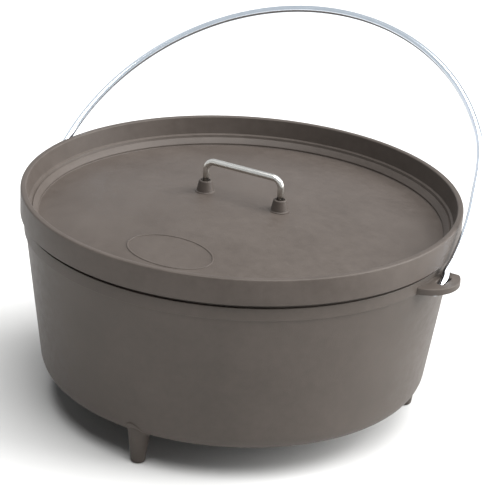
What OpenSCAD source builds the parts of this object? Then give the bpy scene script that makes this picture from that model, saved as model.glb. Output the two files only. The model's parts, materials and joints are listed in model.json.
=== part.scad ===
// Dutch oven for camp use: a cast pot on three feet, a flanged cast lid, a wire bail and a lid handle.
// Axes: Z up through the middle of the pot, X through the two ears, floor at Z = 0. Sizes in mm.

/* [Overall] */
// Outside diameter of the lid
lid_d = 330; // [260:2:420]
// Height from the floor to the top of the lid's flange
total_h = 169; // [130:1:220]
// Thickness of the cast walls
wall = 5; // [4:0.5:7]

/* [Pot] */
// How far the lid stands out past the pot's rim band, at each side
overhang = 3.5; // [2:0.5:6]
// Height of the pot's rim band
band_h = 12.5; // [9:0.5:16]
// How far the rim band stands out past the wall below it
band_step = 1.2; // [0.6:0.1:2.5]
// Slope of the pot's wall from upright, in degrees
draft = 8; // [3:0.5:12]
// Outside radius between the wall and the bottom
corner_r = 16; // [12:1:24]

/* [Feet] */
// Height of the bottom over the floor
foot_h = 24; // [14:1:36]
// Diameter of a foot at its tip
foot_tip_d = 11; // [8:0.5:16]
// Taper of a foot from its axis, in degrees
foot_taper = 7; // [3:0.5:12]
// Distance of a foot's axis inside the sharp corner of wall and bottom
foot_inset = 10; // [8:0.5:20]

/* [Ears] */
// How far an ear reaches out past the rim band
ear_out = 18.5; // [17:0.5:26]
// Width of an ear
ear_w = 33; // [28:1:44]
// Thickness of an ear
ear_t = 5; // [4:0.5:7]

/* [Bail] */
// Diameter of the bail's wire
wire_d = 5.5; // [4.5:0.25:6.5]
// Lean of the bail from upright at rest, in degrees
lean = 50; // [35:1:52]
// Free space between the bail and the lid's flange at the sides
bail_gap = 6.2; // [5:0.2:10]
// Height of the arch's middle over the pivot, along the bail
arch_lift = 28; // [24:1:50]

/* [Lid] */
// Height of the lid's upright flange
flange_h = 20; // [16:0.5:30]
// Thickness of the flange at its top edge
flange_t = 4.5; // [3.5:0.5:7]
// Rise of the lid's domed middle
dome_h = 14; // [8:0.5:22]

/* [Lid handle] */
// Distance between the handle's legs
handle_w = 64; // [50:1:90]
// Height of the handle's bar over the lid
handle_h = 24.5; // [20:0.5:34]
// Diameter of the handle's rod
rod_d = 5; // [4:0.5:6]
// Height of a handle post
post_h = 9; // [8:0.5:12]

/* [Hidden] */
$fn = 96;
eps = 0.5;           // overlap that joins solids of one casting
seat_gap = 0.3;      // between the lid and the rim it rests on
edge = 0.6;          // chamfer on turned edges
slot_fit = 0.8;      // free play of the wire inside an ear's slot
hook_fit = 0.35;     // between an ear's underside and the bail's hook at full lean
jog_fit = 0.3;       // between an ear's top and the start of the bail's jog at full lean
rod_fit = 0.05;      // radial play of the rod in a post
pin_fit = 0.03;      // radial play of a pin in its hole

// Levels and radii of the castings
lid_r = lid_d / 2;
lid_seat = total_h - flange_h;
pot_top = lid_seat - seat_gap;
band_z = pot_top - band_h;
pot_r = lid_r - overhang;
wall_r = pot_r - band_step;
base_r = wall_r - (band_z - foot_h) * tan(draft);
corner_x = base_r + corner_r * tan(draft) - corner_r / cos(draft);
corner_z = foot_h + corner_r;
in_corner_r = corner_r - wall;
mouth_r = wall_r + band_h * tan(draft) - wall / cos(draft);

// Feet
foot_r = base_r - foot_inset;
foot_round = 0.22 * foot_tip_d;
foot_top = corner_z;
feet = [-90, 30, 150];

// Ears and their slots
pivot_z = band_z + ear_t / 2;
slot_x = pot_r + 7.5;
wire_r = wire_d / 2;
slot_w = wire_d + 2 * slot_fit;
slot_l = 2 * (ear_t / 2 * tan(lean) + wire_r / cos(lean) + slot_fit);
ear_tip_r = 25;
ear_root = 4;        // depth of an ear's root inside the rim band

// Bail, drawn in its own plane: u across, v up from the pivot
arch_r = lid_r + bail_gap + wire_r;
jog = arch_r - slot_x;
jog_v = ceil(10 * (ear_t / 2 / cos(lean) + wire_r * tan(lean))) / 10 + jog_fit;
jog_h = 9;
jog_top = jog_v + jog_h;
knuckle_d = wire_d + 0.1;
hook_r = 4;
hook_v = ceil(10 * (ear_t / 2 + wire_r + hook_fit) / cos(lean)) / 10;
hook_l = 3;

// Lid
flange_in = lid_r - flange_t;
tray_r = lid_r - 6.5;
tray_z = lid_seat + 6.2;
groove_r = lid_r - 7.9;
groove_z = lid_seat + 4.6;
lip_r = lid_r - 13.4;
lip_z = lid_seat + 0.3;
lip_drop = 1.4;
dome_edge = lip_z - lip_drop;
dome_r = (lip_r * lip_r + dome_h * dome_h) / (2 * dome_h);
dome_c = dome_edge + dome_h - dome_r;
register_r = mouth_r - 1.6;
register_z = lid_seat - 7;
register_in = lip_r - 5;

// Raised oval mark on the lid, left bare inside
oval_x = 35;
oval_y = 21;
oval_w = 1.4;
oval_rise = 0.5;
oval_r = round(0.68 * lip_r);
oval_dir = -90;
oval_turn = -3;

// Handle posts, rod and pins
leg_x = handle_w / 2;
post_z = dome_c + sqrt(dome_r * dome_r - leg_x * leg_x);
post_top = post_z + post_h;
post_base_d = rod_d + 8.6;
post_top_d = rod_d + 4.8;
post_sink = 2;       // depth of a post's root in the dome
post_ring = 0.5;     // width and height of the low ring round a post's base
bore_z = post_top - 8;
relief_d = rod_d + 2;
relief_h = 1.4;
bar_z = post_z + handle_h;
bend_r = 7;
pin_d = 2.2;
pin_bore_d = 1.2;
pin_z = post_top - 3.6;
pin_dir = 249;
pin_end = 0.8;       // reach of the pin past the middle of the rod
pin_out = post_top_d / 2 + 0.3;

module pot_outside() {
    rotate_extrude() {
        polygon([
            [0, foot_h],
            [corner_x, foot_h],
            [corner_x + corner_r * cos(draft), corner_z - corner_r * sin(draft)],
            [wall_r, band_z],
            [pot_r - edge, band_z],
            [pot_r, band_z + edge],
            [pot_r, pot_top - edge],
            [pot_r - edge, pot_top],
            [0, pot_top]
        ]);
        translate([corner_x, corner_z]) circle(corner_r);
    }
}

module pot_hollow() {
    rotate_extrude() {
        polygon([
            [0, foot_h + wall],
            [corner_x, foot_h + wall],
            [corner_x + in_corner_r * cos(draft), corner_z - in_corner_r * sin(draft)],
            [mouth_r, pot_top],
            [mouth_r + tan(draft), pot_top + 1],
            [0, pot_top + 1]
        ]);
        translate([corner_x, corner_z]) circle(in_corner_r);
    }
}

module foot() {
    rotate_extrude() {
        polygon([
            [0, 0],
            [foot_tip_d / 2 - foot_round, 0],
            [foot_tip_d / 2, foot_round],
            [foot_tip_d / 2 + (foot_top - foot_round) * tan(foot_taper), foot_top],
            [0, foot_top]
        ]);
        translate([foot_tip_d / 2 - foot_round, foot_round]) circle(foot_round);
    }
}

module ear() {
    translate([0, 0, band_z])
    linear_extrude(ear_t)
    intersection() {
        translate([pot_r + ear_out - ear_tip_r, 0]) circle(ear_tip_r);
        translate([pot_r - ear_root, -ear_w / 2]) square([ear_out + ear_root, ear_w]);
    }
}

module ear_slot() {
    flat = slot_l - slot_w;
    translate([slot_x, 0, band_z - 1])
    linear_extrude(ear_t + 2) {
        square([slot_w, flat], center = true);
        for (s = [-1, 1]) translate([0, s * flat / 2]) circle(slot_w / 2);
    }
}

module pot() {
    color("#5b5652")
    difference() {
        union() {
            pot_outside();
            for (a = feet) rotate([0, 0, a]) translate([foot_r, 0, 0]) foot();
            for (a = [0, 180]) rotate([0, 0, a]) ear();
        }
        pot_hollow();
        for (a = [0, 180]) rotate([0, 0, a]) ear_slot();
    }
}

module lid_ring() {
    rotate_extrude()
    polygon([
        [register_in, register_z],
        [register_r, register_z],
        [register_r, lid_seat],
        [lid_r - 1, lid_seat],
        [lid_r - edge / 2, lid_seat + edge],
        [lid_r, total_h - edge],
        [lid_r - edge, total_h],
        [flange_in + edge, total_h],
        [flange_in, total_h - edge],
        [tray_r, tray_z],
        [groove_r + 0.6, groove_z + 1],
        [groove_r + 0.2, groove_z],
        [groove_r - 0.4, groove_z + 0.6],
        [lip_r + edge, lip_z + edge],
        [lip_r, lip_z],
        [lip_r, dome_edge - eps],
        [register_in, dome_edge - eps]
    ]);
}

module lid_dome() {
    difference() {
        intersection() {
            translate([0, 0, dome_c]) sphere(dome_r);
            translate([0, 0, register_z]) cylinder(h = flange_h + dome_h, r = lip_r + 1);
        }
        translate([0, 0, dome_c]) sphere(dome_r - wall);
    }
}

module oval(a, b) {
    polygon([for (t = [0:7.5:352.5]) [a * cos(t), b * sin(t)]]);
}

module oval_mark() {
    intersection() {
        rotate([0, 0, oval_dir]) translate([oval_r, 0, lid_seat])
        rotate([0, 0, 90 + oval_turn]) linear_extrude(flange_h)
        difference() {
            oval(oval_x, oval_y);
            oval(oval_x - oval_w, oval_y - oval_w);
        }
        translate([0, 0, dome_c]) sphere(dome_r + oval_rise);
    }
}

module post() {
    translate([leg_x, 0, post_z - post_sink])
    rotate_extrude()
    polygon([
        [0, 0],
        [post_base_d / 2 + post_ring, 0],
        [post_base_d / 2 + post_ring, post_sink + post_ring],
        [post_base_d / 2, post_sink + post_ring],
        [post_top_d / 2, post_sink + post_h],
        [0, post_sink + post_h]
    ]);
}

module post_bore() {
    translate([leg_x, 0, bore_z]) cylinder(h = post_h, r = rod_d / 2 + rod_fit);
    translate([leg_x, 0, post_top - relief_h]) cylinder(h = relief_h + 1, d = relief_d);
}

module pin_hole() {
    translate([leg_x, 0, pin_z]) rotate([0, 0, pin_dir - 180]) rotate([0, 90, 0])
    translate([0, 0, -pin_end - pin_fit]) cylinder(h = post_base_d, r = pin_d / 2 + pin_fit);
}

module lid() {
    color("#6a6460")
    difference() {
        union() {
            lid_ring();
            lid_dome();
            oval_mark();
            for (a = [0, 180]) rotate([0, 0, a]) post();
        }
        for (a = [0, 180]) rotate([0, 0, a]) {
            post_bore();
            pin_hole();
        }
    }
}

// Quarter or part bend of round rod in the XZ plane, from angle a0 to a0 + a about its middle
module bend(r, rod, a0, a) {
    rotate([90, 0, 0]) rotate([0, 0, a0]) rotate_extrude(angle = a) translate([r, 0]) circle(rod / 2);
}

module bail_side() {
    translate([arch_r, 0, jog_top]) {
        cylinder(h = arch_lift - jog_top, d = wire_d);
        sphere(d = knuckle_d);
    }
    translate([slot_x, 0, jog_v]) {
        sphere(d = knuckle_d);
        rotate([0, atan2(jog, jog_h), 0]) cylinder(h = norm([jog, jog_h]), d = wire_d);
    }
    translate([slot_x, 0, hook_r - hook_v]) cylinder(h = jog_v + hook_v - hook_r, d = wire_d);
    translate([slot_x - hook_r, 0, hook_r - hook_v]) bend(hook_r, wire_d, -90, 90);
    translate([slot_x - hook_r - hook_l, 0, -hook_v]) rotate([0, 90, 0]) cylinder(h = hook_l, d = wire_d);
}

module bail() {
    color("#d4d9de")
    translate([0, 0, pivot_z]) rotate([-lean, 0, 0]) {
        translate([0, 0, arch_lift]) bend(arch_r, wire_d, 0, 180);
        bail_side();
        mirror([1, 0, 0]) bail_side();
    }
}

module lid_handle() {
    leg_z = bore_z + seat_gap;
    color("#c9c8c4")
    difference() {
        union() {
            for (s = [0, 1]) mirror([s, 0, 0]) {
                translate([leg_x, 0, leg_z]) cylinder(h = bar_z - bend_r - leg_z, d = rod_d);
                translate([leg_x - bend_r, 0, bar_z - bend_r]) bend(bend_r, rod_d, 0, 90);
            }
            translate([bend_r - leg_x, 0, bar_z]) rotate([0, 90, 0])
            cylinder(h = handle_w - 2 * bend_r, d = rod_d);
        }
        for (a = [0, 180]) rotate([0, 0, a]) pin_hole();
    }
}

module handle_pins() {
    color("#a8a7a3")
    for (a = [0, 180]) rotate([0, 0, a])
    translate([leg_x, 0, pin_z]) rotate([0, 0, pin_dir - 180]) rotate([0, 90, 0])
    translate([0, 0, -pin_end])
    difference() {
        cylinder(h = pin_out + pin_end, d = pin_d);
        translate([0, 0, 1]) cylinder(h = pin_out + pin_end, d = pin_bore_d);
    }
}

pot();
lid();
bail();
lid_handle();
handle_pins();
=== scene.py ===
"""Looks of a cast camp oven: pot, lid, wire bail, lid handle and its two pins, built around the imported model."""

import json
import math

import bmesh
import bpy
import numpy as np
from bpy.props import FloatProperty, FloatVectorProperty, IntProperty, PointerProperty
from mathutils import Matrix, Vector


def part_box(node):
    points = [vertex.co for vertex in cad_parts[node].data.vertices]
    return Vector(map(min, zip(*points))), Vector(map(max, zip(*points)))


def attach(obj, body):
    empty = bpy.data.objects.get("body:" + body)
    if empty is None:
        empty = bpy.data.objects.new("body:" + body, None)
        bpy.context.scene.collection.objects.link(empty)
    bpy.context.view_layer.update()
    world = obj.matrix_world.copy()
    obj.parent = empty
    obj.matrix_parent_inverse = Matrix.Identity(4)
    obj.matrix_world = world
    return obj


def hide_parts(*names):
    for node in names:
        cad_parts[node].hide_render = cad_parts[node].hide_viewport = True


bl_info = {
    "name": "Camp oven",
    "version": (1, 0, 0),
    "blender": (4, 5, 0),
    "location": "View3D > Sidebar > Camp oven",
    "description": "Builds the visible pieces of a cast camp oven around its packed model",
    "category": "Object",
}

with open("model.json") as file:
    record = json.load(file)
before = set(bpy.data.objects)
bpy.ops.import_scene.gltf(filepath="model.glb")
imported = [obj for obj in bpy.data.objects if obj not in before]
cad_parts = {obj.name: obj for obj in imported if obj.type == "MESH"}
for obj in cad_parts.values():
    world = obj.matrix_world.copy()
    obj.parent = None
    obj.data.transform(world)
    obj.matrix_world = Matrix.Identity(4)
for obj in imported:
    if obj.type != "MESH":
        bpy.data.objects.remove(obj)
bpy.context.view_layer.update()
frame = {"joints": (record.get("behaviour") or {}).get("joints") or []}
MM = 0.001

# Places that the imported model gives, in mm
POT_HIGH = np.array(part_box("pot")[1]) / MM
LID_HIGH = np.array(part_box("lid")[1]) / MM
BAIL_HIGH = np.array(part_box("bail")[1]) / MM
ROD_LOW, ROD_HIGH = (np.array(corner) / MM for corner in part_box("lid_handle"))
SWING = next(joint for joint in frame["joints"] if joint["name"] == "bail_swing")
PIVOT_Z = SWING["pos_m"][2] / MM
LID_R = LID_HIGH[0]
POT_TOP = POT_HIGH[2]


# ---------------------------------------------------------------- settings

def size(label, text, mm):
    """A length property, kept in metres, whose default is given in mm."""
    return FloatProperty(name=label, description=text, default=mm * MM, min=0.0, unit="LENGTH", precision=5)


def tint(label, text, code):
    """A colour property whose default is an sRGB hex code."""
    return FloatVectorProperty(
        name=label, description=text, default=to_linear(code), subtype="COLOR", size=3, min=0.0, max=1.0
    )


def to_linear(code):
    """Linear red, green and blue of an sRGB hex code such as "#5b5652"."""
    c = np.array([int(code[i:i + 2], 16) for i in (1, 3, 5)]) / 255.0
    return tuple(float(v) for v in np.where(c <= 0.04045, c / 12.92, ((c + 0.055) / 1.055) ** 2.4))


class OvenSizes(bpy.types.PropertyGroup):
    wall: size("Wall", "Thickness of the cast walls", 5.0)
    foot_h: size("Foot height", "Height of the pot's bottom over the floor", 24.0)
    corner_r: size("Bottom corner", "Outside radius between the wall and the bottom", 16.0)
    band_h: size("Rim band", "Height of the pot's rim band", 12.5)
    band_step: size("Band step", "How far the rim band stands out past the wall", 1.2)
    foot_tip_d: size("Foot tip", "Diameter of a foot at its tip", 11.0)
    foot_flare: size("Foot flare", "Radius where a foot runs into the bottom", 2.5)
    ear_t: size("Ear thickness", "Thickness of an ear", 5.0)
    ear_w: size("Ear width", "Width of an ear", 33.0)
    wire_d: size("Wire", "Diameter of the bail's wire", 5.5)
    rod_d: size("Rod", "Diameter of the lid handle's rod", 5.0)
    bend_r: size("Rod bend", "Radius of the bends in the lid handle", 7.0)
    flange_t: size("Flange", "Thickness of the lid's flange at its top edge", 4.5)
    dome_h: size("Dome", "Rise of the lid's middle over its edge", 14.0)
    post_h: size("Post", "Height of a handle post", 9.0)
    draft: FloatProperty(
        name="Draft", description="Slope of the pot's wall from upright",
        default=math.radians(8), subtype="ANGLE",
    )
    lean: FloatProperty(
        name="Lean", description="Lean of the bail from upright at rest",
        default=math.radians(50), subtype="ANGLE",
    )
    turns: IntProperty(name="Steps round", description="Steps round the pot and lid", default=288, min=48)


class OvenColours(bpy.types.PropertyGroup):
    pot_light: tint("Pot light", "Lighter tone of the pot's casting", "#4f4843")
    pot_dark: tint("Pot dark", "Darker tone of the pot's casting", "#46403b")
    lid_light: tint("Lid light", "Lighter tone of the lid's casting", "#504944")
    lid_dark: tint("Lid dark", "Darker tone of the lid's casting", "#453e39")
    wire: tint("Wire", "Colour of the bail's bright plating", "#dfe5ec")
    rod: tint("Rod", "Colour of the lid handle's satin steel", "#cfccc6")
    pin: tint("Pin", "Colour of the rolled spring steel pins", "#a19e98")
    floor: tint("Floor", "Colour of the studio floor", "#d6d6d5")


# ---------------------------------------------------------------- shapes

def unit(v):
    """Vectors scaled to length 1, along the last axis."""
    return v / np.maximum(np.linalg.norm(v, axis=-1, keepdims=True), 1e-9)


def rounded(corners, steps):
    """A line through corners (x, y, radius), each inner corner an arc that touches both of its sides.
    The arc's middle is on the bisector at radius / sin(half the corner's angle), and its points come
    from turning the first radius to the last in even steps."""
    table = np.array(corners, float)
    p, r = table[:, :-1], table[1:-1, -1:]
    a, b = unit(p[:-2] - p[1:-1]), unit(p[2:] - p[1:-1])
    half = np.arccos(np.clip((a * b).sum(1, keepdims=True), -1, 1)) / 2
    middle = p[1:-1] + unit(a + b) * r / np.sin(half)
    reach = r / np.tan(half)
    start, end = p[1:-1] + a * reach - middle, p[1:-1] + b * reach - middle
    turn = (math.pi - 2 * half)[:, None]
    s = np.linspace(0, 1, steps + 1)[None, :, None]
    arc = (np.sin((1 - s) * turn) * start[:, None] + np.sin(s * turn) * end[:, None]) / np.sin(turn)
    arc = (middle[:, None] + arc).reshape(-1, p.shape[1])
    return np.vstack([p[:1], arc, p[-1:]])


def turned(profile, steps):
    """Surface of turning: the point (r, z) of the profile goes to (r cos t, r sin t, z) for each angle t."""
    t = np.linspace(0, 2 * math.pi, steps, endpoint=False)[:, None]
    r, z = profile[None, :, 0], profile[None, :, 1]
    return np.stack([r * np.cos(t), r * np.sin(t), z + 0 * t], axis=-1)


def tube(path, normal, radius, ends, steps):
    """Round rod along a flat path: each point of the path carries a circle square to it, whose axes are the
    path's flat normal and the direction across it. Each end is a shallow dish: from the middle it falls in by
    `ends`, and a slope of 45 degrees comes back out to the rim, at radius - depth. Also returns where each
    point lies along and round the rod, for the finish."""
    first, last = unit(path[1] - path[0]), unit(path[-2] - path[-1])
    q = np.linspace(0, math.pi / 2, 5)
    depth = ends * (1 - np.sin(q))
    head = path[0] + first * depth[:, None]
    tail = path[-1] + last * depth[::-1, None]
    line = np.vstack([path[:1], head, path[1:-1], tail, path[-1:]])
    wide = np.full(len(line), radius)
    wide[1:6] = radius - depth
    wide[-6:-1] = radius - depth[::-1]
    wide[[0, -1]] = 0.0
    step = unit(np.diff(line, axis=0))
    along = np.vstack([step[:1], step[:-1] + step[1:], step[-1:]])
    along[:6], along[-6:] = first, -last
    side = np.cross(unit(along), normal)
    t = np.linspace(0, 2 * math.pi, steps, endpoint=False)
    c, s = np.cos(t)[:, None], np.sin(t)[:, None]
    grid = line[None] + wide[None, :, None] * (c[..., None] * side[None] + s[..., None] * np.asarray(normal))
    run = np.concatenate([[0], np.cumsum(np.linalg.norm(np.diff(line, axis=0), axis=1))])[None]
    lay = np.stack([run + 0 * c, radius * c + 0 * run, radius * s + 0 * run], axis=-1)
    return grid, lay


def piece(name, grids, material, body, cad_node, lays=None):
    """One object from closed grids of points in mm. A grid is (points, closed along its second axis);
    each is closed along its first axis. Doubles are merged and normals turned outwards."""
    points, faces, count = [], [], 0
    for grid, loop in grids:
        m, n = grid.shape[:2]
        i, j = np.meshgrid(np.arange(m), np.arange(n if loop else n - 1), indexing="ij")
        i2, j2 = (i + 1) % m, (j + 1) % n
        quad = np.stack([i * n + j, i2 * n + j, i2 * n + j2, i * n + j2], axis=-1).reshape(-1, 4)
        points.append(grid.reshape(-1, 3))
        faces.append(quad + count)
        count += m * n
    mesh = bpy.data.meshes.new(name)
    mesh.from_pydata((np.vstack(points) * MM).tolist(), [], np.vstack(faces).tolist())
    if lays is not None:
        lay = mesh.attributes.new("lay", "FLOAT_VECTOR", "POINT")
        lay.data.foreach_set("vector", (np.vstack([g.reshape(-1, 3) for g in lays]) * MM).ravel())
    bm = bmesh.new()
    bm.from_mesh(mesh)
    bmesh.ops.remove_doubles(bm, verts=bm.verts, dist=2e-6)
    bmesh.ops.recalc_face_normals(bm, faces=bm.faces)
    bm.to_mesh(mesh)
    bm.free()
    mesh.polygons.foreach_set("use_smooth", np.ones(len(mesh.polygons), bool))
    mesh.materials.append(material)
    made = bpy.data.objects.new(name, mesh)
    bpy.context.scene.collection.objects.link(made)
    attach(made, body)
    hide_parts(cad_node)
    return made


def spun(grid, degrees, middle=(0.0, 0.0)):
    """The grid turned about an upright line through `middle`, by whole-array rotation."""
    a = math.radians(degrees)
    out = grid.copy()
    x, y = grid[..., 0] - middle[0], grid[..., 1] - middle[1]
    out[..., 0] = middle[0] + x * math.cos(a) - y * math.sin(a)
    out[..., 1] = middle[1] + x * math.sin(a) + y * math.cos(a)
    return out


def settings():
    """Every size of the panel in mm, and the angles in radians, by name."""
    held = bpy.context.scene.oven_sizes
    out = {}
    for key in OvenSizes.__annotations__:
        value = getattr(held, key)
        out[key] = value if key in ("draft", "lean", "turns") else value / MM
    return out


# ---------------------------------------------------------------- materials

def add(tree, kind, props=None, **inputs):
    """Adds one node, sets its properties and its inputs, and links each input given as (node, output).
    An input is named, with _ for a space, or given by its number as _0."""
    made = tree.nodes.new(kind)
    for key, value in (props or {}).items():
        setattr(made, key, value)
    for key, value in inputs.items():
        socket = made.inputs[int(key[1:]) if key[1:].isdigit() else key.replace("_", " ")]
        if isinstance(value, tuple) and len(value) == 2 and hasattr(value[0], "outputs"):
            tree.links.new(value[0].outputs[value[1]], socket)
        else:
            socket.default_value = value
    return made


def blank(name):
    """A new material with only its output and a principled shader, and its tree."""
    made = bpy.data.materials.new(name)
    made.use_nodes = True
    tree = made.node_tree
    tree.nodes.clear()
    shader = tree.nodes.new("ShaderNodeBsdfPrincipled")
    out = tree.nodes.new("ShaderNodeOutputMaterial")
    tree.links.new(shader.outputs["BSDF"], out.inputs["Surface"])
    return made, tree, shader


def rgba(colour):
    """A colour property as four numbers."""
    return (*colour, 1.0)


def cast_iron(name, light, dark, roughness):
    """Cast iron, sand cast, then shot blasted and dark finished: an even matt grey-brown skin whose fine
    grain breaks up the highlights, with soft clouds of tone where the finish took a little more or less."""
    made, tree, shader = blank(name)
    place = add(tree, "ShaderNodeTexCoord")
    here = (place, "Object")
    # Clouds of tone about 45 mm across, and smaller ones of about 7 mm
    clouds = add(tree, "ShaderNodeTexNoise", Vector=here, Scale=1 / 0.045, Detail=3.0, Roughness=0.5)
    mottle = add(tree, "ShaderNodeTexNoise", Vector=here, Scale=1 / 0.007, Detail=4.0, Roughness=0.6)
    both = add(tree, "ShaderNodeMix", {"data_type": "FLOAT"}, _0=0.45, _2=(clouds, "Fac"), _3=(mottle, "Fac"))
    ramp = add(tree, "ShaderNodeMapRange", Value=(both, 0), From_Min=0.34, From_Max=0.66)
    tone = add(
        tree, "ShaderNodeMix", {"data_type": "RGBA"}, _0=(ramp, "Result"), _6=rgba(dark), _7=rgba(light)
    )
    tree.links.new(tone.outputs[2], shader.inputs["Base Color"])
    # Blasting grain: shot of 0.4 mm, drawn at 0.9 mm because finer grain would not show
    grain = add(tree, "ShaderNodeTexNoise", Vector=here, Scale=1 / 0.0009, Detail=3.0, Roughness=0.65)
    # Low waves left by the sand mould, about 14 mm long
    waves = add(tree, "ShaderNodeTexNoise", Vector=here, Scale=1 / 0.014, Detail=2.0, Roughness=0.4)
    low = add(tree, "ShaderNodeBump", Strength=0.03, Distance=0.0012, Height=(waves, "Fac"))
    fine = add(
        tree, "ShaderNodeBump", Strength=0.22, Distance=0.0004, Height=(grain, "Fac"), Normal=(low, "Normal")
    )
    tree.links.new(fine.outputs["Normal"], shader.inputs["Normal"])
    rough = add(
        tree, "ShaderNodeMapRange", Value=(mottle, "Fac"), From_Min=0.3, From_Max=0.7,
        To_Min=roughness - 0.05, To_Max=roughness + 0.06,
    )
    tree.links.new(rough.outputs["Result"], shader.inputs["Roughness"])
    shader.inputs["Specular IOR Level"].default_value = 0.22
    return made


def drawn_metal(name, colour, rough_low, rough_high, line, depth):
    """Steel wire or rod, cold drawn and then plated or polished: long fine lines run with the rod and pull
    the highlight into a streak, and the tone shifts a little from place to place."""
    made, tree, shader = blank(name)
    lay = add(tree, "ShaderNodeAttribute", {"attribute_name": "lay"})
    # Drawing lines: `line` apart round the rod and forty times as long
    stretch = add(tree, "ShaderNodeMapping", Vector=(lay, "Vector"), Scale=(0.025, 1.0, 1.0))
    lines = add(tree, "ShaderNodeTexNoise", Vector=(stretch, "Vector"), Scale=1 / line, Detail=3.0)
    place = add(tree, "ShaderNodeTexCoord")
    spots = add(tree, "ShaderNodeTexNoise", Vector=(place, "Object"), Scale=1 / 0.006, Detail=4.0)
    tone = add(
        tree, "ShaderNodeMix", {"data_type": "RGBA"}, _0=(spots, "Fac"),
        _6=tuple(v * 0.86 for v in colour) + (1.0,), _7=rgba(colour),
    )
    tree.links.new(tone.outputs[2], shader.inputs["Base Color"])
    rough = add(
        tree, "ShaderNodeMapRange", Value=(lines, "Fac"), From_Min=0.3, From_Max=0.7,
        To_Min=rough_low, To_Max=rough_high,
    )
    tree.links.new(rough.outputs["Result"], shader.inputs["Roughness"])
    bump = add(tree, "ShaderNodeBump", Strength=depth, Distance=0.0002, Height=(lines, "Fac"))
    tree.links.new(bump.outputs["Normal"], shader.inputs["Normal"])
    shader.inputs["Metallic"].default_value = 1.0
    return made


def studio_paper(name, colour):
    """Matt seamless paper: an even pale sheet with a barely uneven tone."""
    made, tree, shader = blank(name)
    place = add(tree, "ShaderNodeTexCoord")
    patches = add(tree, "ShaderNodeTexNoise", Vector=(place, "Object"), Scale=1 / 0.4, Detail=2.0)
    tone = add(
        tree, "ShaderNodeMix", {"data_type": "RGBA"}, _0=(patches, "Fac"),
        _6=tuple(v * 0.985 for v in colour) + (1.0,), _7=rgba(colour),
    )
    tree.links.new(tone.outputs[2], shader.inputs["Base Color"])
    shader.inputs["Roughness"].default_value = 0.9
    shader.inputs["Specular IOR Level"].default_value = 0.1
    return made


# ---------------------------------------------------------------- pieces

# In mm: the lid's reach past the pot, the gap it rests at, the slot's middle past the pot's rim, and the
# room round the wire in its slot
OVERHANG = 3.5
SEAT_GAP = 0.3
SLOT_X = 7.5
SLOT_FIT = 0.8
SEAT = POT_TOP + SEAT_GAP


def pot_rings(s):
    """Radii and heights of the pot's casting that several pieces share, in mm."""
    pot_r = LID_R - OVERHANG
    band_z = POT_TOP - s["band_h"]
    wall_r = pot_r - s["band_step"]
    base_r = wall_r - (band_z - s["foot_h"]) * math.tan(s["draft"])
    mouth_r = wall_r + s["band_h"] * math.tan(s["draft"]) - s["wall"] / math.cos(s["draft"])
    corner_x = base_r + s["corner_r"] * math.tan(s["draft"]) - s["corner_r"] / math.cos(s["draft"])
    return pot_r, band_z, wall_r, base_r, mouth_r, corner_x


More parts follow.
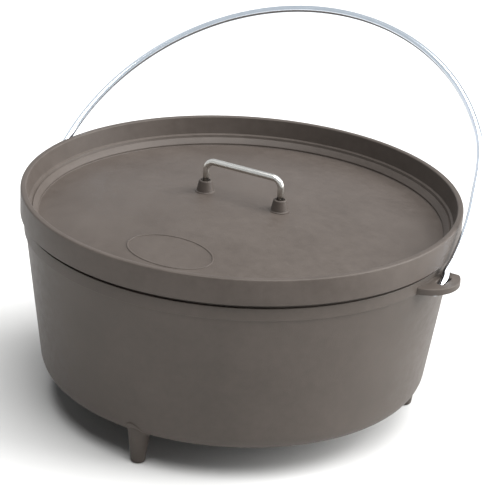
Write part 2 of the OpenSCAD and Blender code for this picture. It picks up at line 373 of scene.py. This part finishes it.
class OVEN_OT_pot(bpy.types.Operator):
    """Builds the pot's casting: the turned body, three stub feet and two slotted ears"""

    bl_idname = "oven.pot"
    bl_label = "Pot"

    def body(self, s):
        """Turned body: bottom, rounded corner, sloping wall, rim band, then the inside back down. A step in
        the band's top edge leaves the dark line under the lid."""
        pot_r, band_z, wall_r, base_r, mouth_r, _ = pot_rings(s)
        floor = s["foot_h"] + s["wall"]
        inner = mouth_r - (POT_TOP - floor) * math.tan(s["draft"])
        step_r, step_z = pot_r - 2.0, POT_TOP - 2.8
        profile = rounded([
            (0, s["foot_h"], 0),
            (base_r, s["foot_h"], s["corner_r"]),
            (wall_r, band_z, 0.5),
            (pot_r, band_z, 0.6),
            (pot_r, step_z, 0.5),
            (step_r, step_z, 0.4),
            (step_r, POT_TOP, 0.6),
            (mouth_r, POT_TOP, 0.8),
            (inner, floor, s["corner_r"] - s["wall"]),
            (0, floor, 0),
        ], 10)
        return turned(profile, s["turns"])

    def foot(self, s, degrees):
        """Stub foot: a cone with a round tip. Near the pot its radius grows as a quarter circle, and the top
        ring follows the pot's underside, where the casting's corner rises as a circle."""
        *_, base_r, _, corner_x = pot_rings(s)
        out, top = base_r - 10.0, s["foot_h"]
        tip, taper, flare = s["foot_tip_d"] / 2, math.tan(math.radians(7)), s["foot_flare"]
        t = np.linspace(0, 2 * math.pi, 56, endpoint=False)[:, None]
        # The pot's underside is met where the foot is widest
        widest = tip + (top + 2) * taper + flare
        far = np.hypot(out + widest * np.cos(t), widest * np.sin(t))
        rise = np.clip(far - corner_x, 0, 0.97 * s["corner_r"])
        high = top + s["corner_r"] - np.sqrt(s["corner_r"] ** 2 - rise ** 2)
        edge = 2.4
        q = np.linspace(0, math.pi / 2, 7)[None]
        tip_r, tip_z = tip - edge + edge * np.sin(q), edge - edge * np.cos(q)
        z = edge + (high - edge) * np.linspace(0.05, 1, 22)[None]
        near = np.clip((z - high + flare) / flare, 0, 1)
        r = tip + (z - edge) * taper + flare * (1 - np.sqrt(np.maximum(1 - near ** 2, 0)))
        zero, sunk = 0 * t, 0.9
        r = np.hstack([zero, tip_r + zero, r, r[:, -1:], zero])
        z = np.hstack([zero, tip_z + zero, z, z[:, -1:] + sunk, zero + top + s["wall"] / 2])
        grid = np.stack([out + r * np.cos(t), r * np.sin(t), z], axis=-1)
        return spun(grid, degrees)

    def ear(self, s, side_x):
        """Slotted ear, a ring with two openings: round the slot's middle, each ray meets the slot's outline and
        the ear's. A rounded section joins the two, and it thickens where the ear runs into the rim band."""
        pot_r, *_ = pot_rings(s)
        x0 = pot_r + SLOT_X
        half_w = s["wire_d"] / 2 + SLOT_FIT
        lean, half_t = s["lean"], s["ear_t"] / 2
        half_l = half_t * math.tan(lean) + s["wire_d"] / 2 / math.cos(lean) + SLOT_FIT
        t = np.linspace(0, 2 * math.pi, 128, endpoint=False)
        c, n = np.cos(t), np.sin(t)
        # Slot: flat sides up to `flat`, half circles past them
        flat = half_l - half_w
        side = half_w / np.maximum(abs(c), 1e-6)
        end = flat * abs(n) + np.sqrt(np.maximum(half_w ** 2 - (flat * c) ** 2, 0))
        slot = np.where(side * abs(n) <= flat, side, end)
        # Outline: nearest of the tip's circle, the straight back side and the root, with the corners softened
        tip_r, root, never, soft = 25.0, 4.0, 1e6, 60.0
        back = POT_HIGH[0] - tip_r - x0
        arc = back * c + np.sqrt(tip_r ** 2 - (back * n) ** 2)
        wide = np.where(n > 0, s["ear_w"] / 2 / np.maximum(n, 1e-6), never)
        deep = np.where(c < 0, (SLOT_X + root) / np.maximum(-c, 1e-6), never)
        outline = (arc ** -soft + wide ** -soft + deep ** -soft) ** (-1 / soft)
        edge = 0.8
        q = np.linspace(0, math.pi / 2, 6)
        flat_q = np.linspace(0.08, 0.92, 9)
        rise, run, level = edge * np.sin(q), edge * np.cos(q), 0 * flat_q
        # Section: share of the way from slot to outline, reach past the edge's centre, height past it
        share = np.concatenate([0 * q, flat_q, 0 * q + 1, 0 * q + 1, flat_q[::-1], 0 * q])
        past = np.concatenate([-run, level, rise, run, level, -rise])
        lift = np.concatenate([rise, level + edge, run, -rise, level - edge, -run])
        up = np.repeat([1.0, -1.0], 2 * len(q) + len(flat_q))
        start, stop = slot[:, None] + edge, outline[:, None] - edge
        ray = start + (stop - start) * share + past
        x = x0 + ray * c[:, None]
        root_r = np.hypot(x, ray * n[:, None])
        swell, swell_from, swell_run = 0.8, pot_r + 1.4, 1.6
        thick = half_t - edge + swell * np.clip((swell_from - root_r) / swell_run, 0, 1) ** 2
        z = PIVOT_Z + up * thick + lift
        return np.stack([side_x * x, ray * n[:, None], z], axis=-1)

    def execute(self, context):
        s, tones = settings(), context.scene.oven_colours
        iron = cast_iron("blasted_cast_iron_pot", tones.pot_light, tones.pot_dark, 0.5)
        grids = [(self.body(s), False)]
        grids += [(self.foot(s, turn), False) for turn in (-90, 30, 150)]
        grids += [(self.ear(s, side_x), True) for side_x in (-1, 1)]
        piece("pot_casting", grids, iron, "pot", "pot")
        return {"FINISHED"}


def dome(s):
    """Radius of the lid's dome, the height of its middle, and the radius and height of its edge."""
    lip_r, edge_z = LID_R - 13.4, SEAT - 1.1
    ball = (lip_r ** 2 + s["dome_h"] ** 2) / (2 * s["dome_h"])
    return ball, edge_z + s["dome_h"] - ball, lip_r, edge_z


class OVEN_OT_lid(bpy.types.Operator):
    """Builds the lid's casting: dome, lip, groove, flange and register, two handle posts and the oval mark"""

    bl_idname = "oven.lid"
    bl_label = "Lid"
    flange_h = 20.0

    def body(self, s):
        """Turned body: out over the dome, the lip, the sloping ledge and the groove, up the tray's wall, over
        the flange, down outside, and back under the register and the dome's underside."""
        ball, middle, lip_r, edge_z = dome(s)
        seat, top, r = SEAT, SEAT + self.flange_h, LID_R
        register, register_z = pot_rings(s)[4] - 1.6, seat - 7
        inside = r - s["flange_t"]
        under = lip_r - 5.0
        low = ball - s["wall"]
        edge = rounded([
            (lip_r - 2.0, middle + math.sqrt(ball ** 2 - (lip_r - 2.0) ** 2), 0),
            (lip_r, edge_z, 0.5),
            (lip_r, seat + 0.55, 0.5),
            (r - 9.6, seat + 4.6, 0.35),
            (r - 9.0, seat + 3.2, 0.25),
            (r - 8.3, seat + 5.9, 0.4),
            (r - 6.5, seat + 6.4, 0.35),
            (inside, top, 1.1),
            (r, top, 1.3),
            (r - 0.35, seat, 1.0),
            (register, seat, 0.5),
            (register, register_z, 1.0),
            (under, register_z, 1.0),
            (under, middle + math.sqrt(low ** 2 - under ** 2), 1.0),
            (under - 6, middle + math.sqrt(low ** 2 - (under - 6) ** 2), 0),
        ], 6)
        over = np.linspace(0, lip_r - 4.0, 26)
        back = np.linspace(under - 9, 0, 20)
        profile = np.vstack([
            np.stack([over, middle + np.sqrt(ball ** 2 - over ** 2)], axis=1),
            edge,
            np.stack([back, middle + np.sqrt(low ** 2 - back ** 2)], axis=1),
        ])
        return turned(profile, s["turns"])

    def post(self, s, x):
        """Handle post: turned about its own line, a low ring, a fillet, a cone, and a relief round the bore."""
        ball, middle, *_ = dome(s)
        base = middle + math.sqrt(ball ** 2 - x ** 2)
        rod = s["rod_d"] / 2
        top, root, relief, bore = s["post_h"], -2.5, s["post_h"] - 1.4, rod + 0.05
        profile = rounded([
            (0, root, 0),
            (rod + 4.9, root, 0.2),
            (rod + 4.9, 0.45, 0.3),
            (rod + 4.1, 0.6, 0.6),
            (rod + 2.4, top, 1.0),
            (rod + 1.0, top, 0.3),
            (rod + 0.9, relief, 0.3),
            (bore, relief, 0.1),
            (bore, 1.0, 0.2),
            (0, 1.0, 0),
        ], 6)
        return turned(profile, 64) + np.array([x, 0, base])

    def oval(self, s):
        """Oval mark, bare inside: a low half-round ridge along an ellipse, lifted onto the dome. Each point is
        the ellipse's point moved along its normal, at the dome's height plus the ridge's."""
        ball, middle, lip_r, _ = dome(s)
        a, b, out, turn = 34.3, 20.3, round(0.68 * lip_r), -3
        half_wide, high, above = 0.8, 0.45, 0.05
        t = np.linspace(0, 2 * math.pi, 160, endpoint=False)[:, None]
        v = np.linspace(0, 2 * math.pi, 16, endpoint=False)[None]
        normal = unit(np.concatenate([np.cos(t) / a, np.sin(t) / b], axis=1))
        across = half_wide * np.cos(v)
        x = a * np.cos(t) + across * normal[:, :1]
        y = b * np.sin(t) + across * normal[:, 1:]
        flat = spun(np.stack([x, y - out, 0 * x], axis=-1), turn, (0, -out))
        reach = np.hypot(flat[..., 0], flat[..., 1])
        flat[..., 2] = middle + np.sqrt(ball ** 2 - reach ** 2) + above + high * np.sin(v)
        return flat

    def execute(self, context):
        s, tones = settings(), context.scene.oven_colours
        iron = cast_iron("blasted_cast_iron_lid", tones.lid_light, tones.lid_dark, 0.5)
        leg = ROD_HIGH[0] - s["rod_d"] / 2
        grids = [(self.body(s), False), (self.oval(s), True)]
        grids += [(self.post(s, x), False) for x in (-leg, leg)]
        piece("lid_casting", grids, iron, "lid", "lid")
        return {"FINISHED"}


class OVEN_OT_bail(bpy.types.Operator):
    """Builds the bail: one round wire, an arch with a jog and a hook at each end"""

    bl_idname = "oven.bail"
    bl_label = "Bail"
    pull, free, ease = 5.6, 130.0, 60.0

    def execute(self, context):
        s, tones = settings(), context.scene.oven_colours
        wire, lean = s["wire_d"] / 2, s["lean"]
        slot_x = pot_rings(s)[0] + SLOT_X
        arch_r = BAIL_HIGH[0] - wire
        lift = (BAIL_HIGH[2] - PIVOT_Z - wire) / math.cos(lean) - arch_r
        # Corners are across the pot, along the bail from its pivot, and the bend's radius. The right leg is
        # bowed in, as springy wire can be: by `pull` low down, fading over the last `ease` before `free`
        leg, hook = arch_r - self.pull, -8.8
        right = rounded([
            (slot_x - 5.4, hook, 0),
            (slot_x - 0.6, hook, 4.0),
            (slot_x - 0.7, 5.6, 6.0),
            (slot_x - 2.0, 9.0, 6.0),
            (leg, 19.5, 9.0),
            (leg, lift, 0),
        ], 10)
        left = rounded([
            (-arch_r, lift, 0),
            (-arch_r, 16.6, 9.0),
            (-slot_x, 7.6, 9.0),
            (-slot_x, hook, 4.0),
            (7.0 - slot_x, hook, 0),
        ], 10)
        t = np.linspace(0, math.pi, 121)[1:-1, None]
        high = lift + arch_r * np.sin(t)
        bow = np.clip((self.free - high) / self.ease, 0, 1)
        bow = self.pull * bow * bow * (3 - 2 * bow) * (np.cos(t) > 0)
        arch = np.hstack([arch_r * np.cos(t) - bow, high])
        flat = np.vstack([right, arch, left])
        path = np.stack([flat[:, 0], flat[:, 1] * math.sin(lean), PIVOT_Z + flat[:, 1] * math.cos(lean)], axis=1)
        grid, lay = tube(path, (0, math.cos(lean), -math.sin(lean)), wire, 0.6, 28)
        metal = drawn_metal("bright_zinc_plated_wire", tones.wire, 0.10, 0.20, 0.0009, 0.05)
        piece("bail_wire", [(grid, False)], metal, "bail", "bail", [lay])
        return {"FINISHED"}


class OVEN_OT_lid_handle(bpy.types.Operator):
    """Builds the lid handle: one bent rod whose legs stand in the two posts"""

    bl_idname = "oven.lid_handle"
    bl_label = "Lid handle"

    def execute(self, context):
        s, tones = settings(), context.scene.oven_colours
        rod = s["rod_d"] / 2
        leg, low, bar = ROD_HIGH[0] - rod, ROD_LOW[2], ROD_HIGH[2] - rod
        flat = rounded([(-leg, low, 0), (-leg, bar, s["bend_r"]), (leg, bar, s["bend_r"]), (leg, low, 0)], 14)
        path = np.stack([flat[:, 0], 0 * flat[:, 0], flat[:, 1]], axis=1)
        grid, lay = tube(path, (0, 1, 0), rod, 0.5, 32)
        metal = drawn_metal("satin_drawn_steel_rod", tones.rod, 0.22, 0.36, 0.0007, 0.10)
        piece("handle_rod", [(grid, False)], metal, "lid", "lid_handle", [lay])
        return {"FINISHED"}


class OVEN_OT_handle_pins(bpy.types.Operator):
    """Builds the two hollow pins that cross the posts and hold the rod"""

    bl_idname = "oven.handle_pins"
    bl_label = "Handle pins"

    def execute(self, context):
        s, tones = settings(), context.scene.oven_colours
        ball, middle, *_ = dome(s)
        rod = s["rod_d"] / 2
        leg = ROD_HIGH[0] - rod
        below_top, past_rod, turn = 3.6, 2.7, 69
        height = middle + math.sqrt(ball ** 2 - leg ** 2) + s["post_h"] - below_top
        out, pin_r, bore, start, bottom = rod + past_rod, 1.1, 0.6, -0.8, 0.2
        profile = rounded([
            (0, start, 0),
            (pin_r, start, 0.2),
            (pin_r, out, 0.2),
            (bore, out, 0.15),
            (bore, bottom, 0.15),
            (0, bottom, 0),
        ], 4)
        upright = turned(profile, 32)
        lying = np.stack([upright[..., 2], upright[..., 1], upright[..., 0]], axis=-1)
        back = spun(lying, turn) + np.array([leg, 0, height])
        front = spun(back, 180)
        metal = drawn_metal("rolled_spring_steel_pin", tones.pin, 0.3, 0.4, 0.0005, 0.05)
        lay = np.stack([upright[..., 2], upright[..., 0], upright[..., 1]], axis=-1)
        piece("handle_pins_pair", [(back, False), (front, False)], metal, "lid", "handle_pins", [lay, lay])
        return {"FINISHED"}


class OVEN_OT_stage(bpy.types.Operator):
    """Builds the stage: pale floor, soft lights and the camera"""

    bl_idname = "oven.stage"
    bl_label = "Stage"

    def execute(self, context):
        scene = context.scene
        mesh = bpy.data.meshes.new("studio_floor")
        far = 30.0
        mesh.from_pydata([(-far, -far, 0), (far, -far, 0), (far, far, 0), (-far, far, 0)], [], [(0, 1, 2, 3)])
        mesh.materials.append(studio_paper("seamless_paper", scene.oven_colours.floor))
        floor = bpy.data.objects.new("studio_floor", mesh)
        scene.collection.objects.link(floor)
        # Soft boxes as suns with wide discs. Azimuth 0 looks along +Y, and 90 has the light at +X
        for name, azimuth, elevation, strength, spread in (
            ("key", 121, 25, 5.2, 50),
            ("top", 75, 76, 5.0, 60),
            ("left", -85, 30, 0.15, 50),
        ):
            light = bpy.data.lights.new(name, "SUN")
            light.energy, light.angle = strength, math.radians(spread)
            lamp = bpy.data.objects.new(name, light)
            scene.collection.objects.link(lamp)
            lamp.matrix_world = looking(azimuth, elevation, 2.0, Vector((0, 0, 0.1)), 0)
        world = bpy.data.worlds.new("studio")
        scene.world = world
        world.use_nodes = True
        tree = world.node_tree
        # Shiny metal mirrors the bright walls of the light tent, which shed little light on matt things
        rays = add(tree, "ShaderNodeLightPath")
        glow = add(tree, "ShaderNodeMapRange", Value=(rays, "Is Glossy Ray"), To_Min=0.05, To_Max=0.75)
        tree.links.new(glow.outputs["Result"], tree.nodes["Background"].inputs["Strength"])
        tree.nodes["Background"].inputs["Color"].default_value = (0.90, 0.95, 1.0, 1.0)
        scene.view_settings.view_transform = "Standard"
        lens = bpy.data.cameras.new("camera")
        lens.lens, lens.sensor_width = 180, 36
        lens.clip_start, lens.clip_end = 0.05, 100
        camera = bpy.data.objects.new("camera", lens)
        scene.collection.objects.link(camera)
        azimuth, elevation, distance, roll = 28.23, 22.9, 1.8812, 3.59
        aim = Vector((0.0073, 0.0039, 0.1217))
        camera.matrix_world = looking(azimuth, elevation, distance, aim, roll)
        scene.camera = camera
        return {"FINISHED"}


def looking(azimuth, elevation, distance, aim, roll):
    """Place of a lamp or camera that looks at `aim` from an azimuth and elevation, rolled to its left."""
    a, e = math.radians(azimuth), math.radians(elevation)
    back = Vector((math.sin(a) * math.cos(e), -math.cos(a) * math.cos(e), math.sin(e)))
    right = Vector((math.cos(a), math.sin(a), 0))
    up = back.cross(right)
    turn = math.radians(roll)
    side = right * math.cos(turn) + up * math.sin(turn)
    above = up * math.cos(turn) - right * math.sin(turn)
    place = Matrix((side, above, back)).transposed().to_4x4()
    place.translation = aim + back * distance
    return place


BUILDERS = (OVEN_OT_pot, OVEN_OT_lid, OVEN_OT_bail, OVEN_OT_lid_handle, OVEN_OT_handle_pins, OVEN_OT_stage)


class OVEN_PT_panel(bpy.types.Panel):
    """Lists the oven's builders, sizes and colours"""

    bl_label = "Camp oven"
    bl_idname = "OVEN_PT_panel"
    bl_space_type = "VIEW_3D"
    bl_region_type = "UI"
    bl_category = "Camp oven"

    def draw(self, context):
        for builder in BUILDERS:
            self.layout.operator(builder.bl_idname)
        for held in (context.scene.oven_sizes, context.scene.oven_colours):
            for key in type(held).__annotations__:
                self.layout.prop(held, key)


CLASSES = (OvenSizes, OvenColours, *BUILDERS, OVEN_PT_panel)


def register():
    for made in CLASSES:
        bpy.utils.register_class(made)
    bpy.types.Scene.oven_sizes = PointerProperty(type=OvenSizes)
    bpy.types.Scene.oven_colours = PointerProperty(type=OvenColours)


def unregister():
    del bpy.types.Scene.oven_colours
    del bpy.types.Scene.oven_sizes
    for made in reversed(CLASSES):
        bpy.utils.unregister_class(made)


def main():
    register()
    bpy.ops.oven.pot()
    bpy.ops.oven.lid()
    bpy.ops.oven.bail()
    bpy.ops.oven.lid_handle()
    bpy.ops.oven.handle_pins()
    bpy.ops.oven.stage()


if __name__ == "__main__":
    main()
